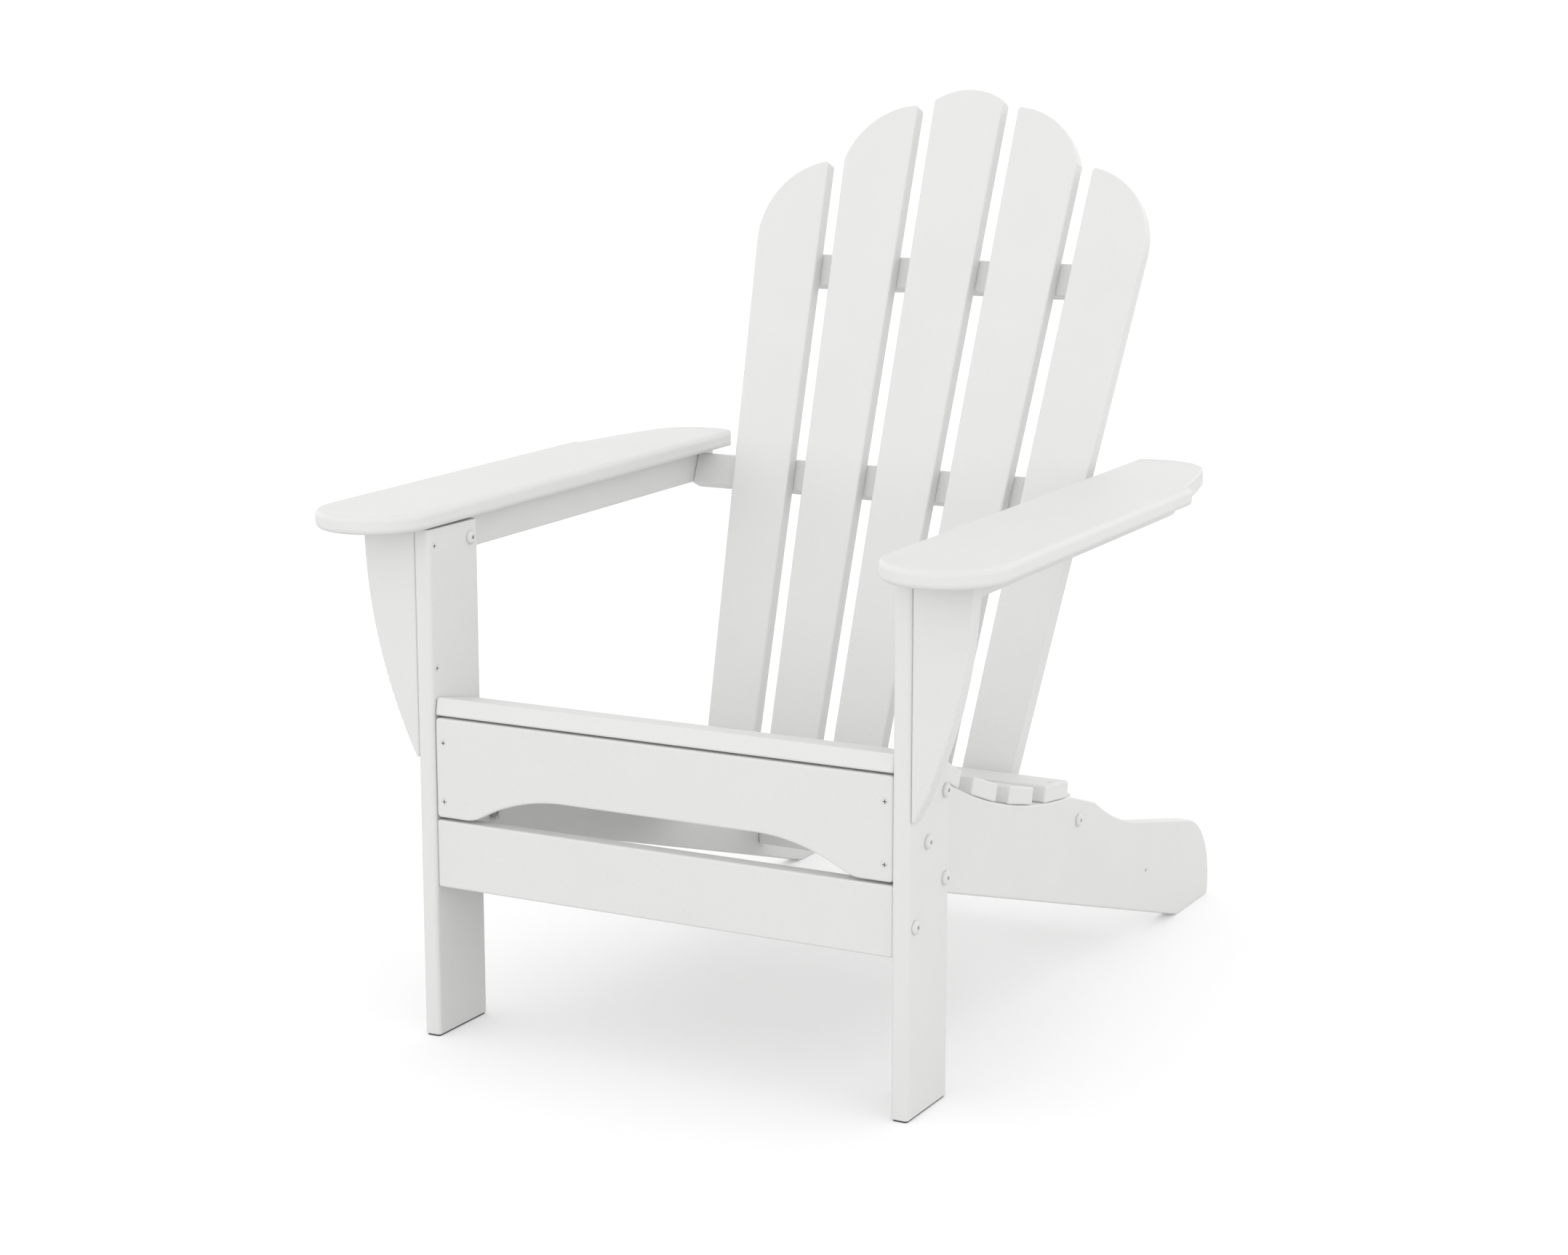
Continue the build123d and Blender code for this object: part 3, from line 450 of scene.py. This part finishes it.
# %% Material: turned stainless
STEEL_LOW = (0.50, 0.50, 0.49, 1.0)
STEEL_HIGH = (0.64, 0.64, 0.63, 1.0)
RING_GRAIN = 500.0
RING_SQUEEZE = (6.0, 1.0, 1.0)
STEEL_ROUGHNESS = (0.24, 0.42)
STEEL_RELIEF = 0.3
STEEL_RELIEF_DEPTH = 0.00005


def stainless_hardware():
    """Bare turned metal with fine rings and dull patches."""
    material, tree, shader, place_on = start_finish("turned_stainless")
    shader.inputs["Metallic"].default_value = 1.0
    squeezed = place(tree, "Mapping", Scale=RING_SQUEEZE)
    rings = place(tree, "TexNoise", Scale=RING_GRAIN, Detail=3.0)
    tone = blend_colours(tree, rings.outputs[0], STEEL_LOW, STEEL_HIGH)
    join(
        tree,
        (place_on, squeezed.inputs["Vector"]),
        (squeezed.outputs[0], rings.inputs["Vector"]),
        (tone, shader.inputs["Base Color"]),
        (ramp(tree, rings.outputs[0], end=STEEL_ROUGHNESS), shader.inputs["Roughness"]),
    )
    add_relief(tree, shader, rings.outputs[0], STEEL_RELIEF, STEEL_RELIEF_DEPTH)
    return material


bare_metal = pieces_of("stainless_hardware")
dress(bare_metal, stainless_hardware())
print("stainless on", len(bare_metal), "sets of nuts, washers and inserts")

# %% [markdown]
# ## The pads under the front legs
# Each front leg stands on a thin dark moulded pad.
# Only a line of it shows. Its moulded grain is a fine noise in colour, roughness and height, in
# the same way as the boards but coarser and much darker, so the shared skin group does the work
# again.

# %% Material: moulded pad
PAD_LOW = (0.030, 0.030, 0.031, 1.0)
PAD_HIGH = (0.060, 0.060, 0.061, 1.0)
PAD_LINES_PER_METRE = 500.0
PAD_STRETCH = 4.0
PAD_ROUGHNESS = (0.55, 0.75)
PAD_RELIEF = 0.4
PAD_RELIEF_DEPTH = 0.0003


def moulded_pad():
    """Dark moulded plastic with a coarse grain."""
    material, tree, shader, place_on = start_finish("moulded_pad")
    skin = use_group(
        tree, extruded_skin, Lines_per_Metre=PAD_LINES_PER_METRE, Stretch=PAD_STRETCH
    )
    tone = blend_colours(tree, skin.outputs["Lines"], PAD_LOW, PAD_HIGH)
    join(
        tree,
        (place_on, skin.inputs["Board Place"]),
        (tone, shader.inputs["Base Color"]),
        (ramp(tree, skin.outputs["Pebble"], end=PAD_ROUGHNESS), shader.inputs["Roughness"]),
    )
    add_relief(tree, shader, skin.outputs["Height"], PAD_RELIEF, PAD_RELIEF_DEPTH)
    return material


pads = pieces_of("dark_glide")
dress(pads, moulded_pad())
print("dark pads:", ", ".join(pads))

# %% [markdown]
# ## The studio floor
# A white studio has a floor and walls that run into each other with no corner in sight. One very
# large pale plane does that when the world behind it is as bright as the lit floor. White paper
# in the shade still looks bright, so the camera sees the paper glow a little, while the light
# that the chair gets back from it stays soft.

# %% Floor
FLOOR_ACROSS = 60.0
PAPER_LOW = (0.74, 0.74, 0.74, 1.0)
PAPER_HIGH = (0.76, 0.76, 0.76, 1.0)
PAPER_GRAIN = 400.0
PAPER_ROUGHNESS = 0.9
PAPER_GLOW = 0.25
WHITE = (1.0, 1.0, 1.0, 1.0)


def studio_paper():
    """Matt white paper that glows a little for the camera alone."""
    material, tree, shader, place_on = start_finish("studio_paper")
    grain = place(tree, "TexNoise", Scale=PAPER_GRAIN, Detail=2.0)
    seen = place(tree, "LightPath")
    glow = sum_up(tree, "MULTIPLY", seen.outputs["Is Camera Ray"], PAPER_GLOW)
    tone = blend_colours(tree, grain.outputs[0], PAPER_LOW, PAPER_HIGH)
    join(
        tree,
        (place_on, grain.inputs["Vector"]),
        (tone, shader.inputs["Base Color"]),
        (glow, shader.inputs["Emission Strength"]),
    )
    shader.inputs["Roughness"].default_value = PAPER_ROUGHNESS
    shader.inputs["Specular IOR Level"].default_value = 0.0
    shader.inputs["Emission Color"].default_value = WHITE
    return material


bpy.ops.object.select_all(action="DESELECT")
bpy.ops.mesh.primitive_plane_add(size=FLOOR_ACROSS, location=(0.0, 0.0, 0.0))
floor = bpy.context.object
floor.name = "studio_floor"
floor.data.materials.append(studio_paper())
print("floor", floor.dimensions[0], "m across")

# %% [markdown]
# ## Light
# A white chair on white needs light from all round, so that its planes differ by only a little
# grey. The world gives that even part, and it is brighter low down than overhead, as a room with
# lit white walls is, which keeps the upright boards nearly as bright as the tops. The camera
# itself sees a plain white behind the chair. Three square area lights, overhead, in front and on
# the right, then lift the sides that show. They are three metres wide, because a large light
# keeps every shadow soft.

# %% World
HORIZON = 1.64
ZENITH = 0.80
BACKDROP = 1.02  # what the camera sees behind the chair

world = bpy.data.worlds.new("white_studio")
world.use_nodes = True
bpy.context.scene.world = world
sky = world.node_tree
ray = place(sky, "LightPath")
way = place(sky, "TexCoord")
height = place(sky, "SeparateXYZ")
join(sky, (way.outputs["Generated"], height.inputs[0]))
brightness = ramp(sky, height.outputs["Z"], end=(HORIZON, ZENITH))
backdrop = place(sky, "Mix", data_type="FLOAT")
feed(sky, backdrop.inputs[0], ray.outputs["Is Camera Ray"])
feed(sky, backdrop.inputs[2], brightness)
feed(sky, backdrop.inputs[3], BACKDROP)
background = sky.nodes["Background"]
background.inputs["Color"].default_value = WHITE
join(sky, (backdrop.outputs[0], background.inputs["Strength"]))
print("sky from", HORIZON, "at the horizon to", ZENITH, "overhead")

# %% Soft boxes
BOX_SIZE = 3.0
MIDDLE = (0.0, 0.0, 0.5)
SEAT = (0.0, 0.0, 0.3)


def soft_box(title, spot, aim, power):
    """A square area light at spot, turned towards aim."""
    light = bpy.data.lights.new(title, "AREA")
    light.shape = "SQUARE"
    light.size = BOX_SIZE
    light.energy = power
    lamp = bpy.data.objects.new(title, light)
    lamp.location = spot
    lamp.rotation_euler = (Vector(aim) - Vector(spot)).to_track_quat("-Z", "Y").to_euler()
    bpy.context.scene.collection.objects.link(lamp)
    return lamp


boxes = [
    soft_box("overhead_box", (0.0, 0.0, 3.6), SEAT, 5.0),
    soft_box("front_box", (-0.6, -4.4, 1.0), MIDDLE, 13.0),
    soft_box("right_box", (4.4, 0.0, 1.0), MIDDLE, 7.0),
]
print("soft boxes:", ", ".join(f"{box.name} {box.data.energy:.0f} W" for box in boxes))

# %% [markdown]
# ## Camera
# The chair is seen from its right front at standing height, from over three metres away, so that
# its lines stay nearly parallel. A longish lens keeps the arms from looking too big. The camera
# is level: it only turns to the chair and tips down a little.

# %% Camera
SENSOR_WIDTH = 36.0  # in millimetres, as the focal length
FOCAL_LENGTH = 69.15
TIPPED_DOWN = 11.353  # in degrees, as the next
TURNED = 28.004

lens = bpy.data.cameras.new("studio_camera")
lens.sensor_width = SENSOR_WIDTH
lens.lens = FOCAL_LENGTH
camera = bpy.data.objects.new("studio_camera", lens)
camera.location = (1.4752, -2.9073, 1.0461)
camera.rotation_euler = (math.radians(90.0 - TIPPED_DOWN), 0.0, math.radians(TURNED))
bpy.context.scene.collection.objects.link(camera)
bpy.context.scene.camera = camera
bpy.context.scene.view_settings.view_transform = "Standard"
print("camera at", [round(part, 2) for part in camera.location])
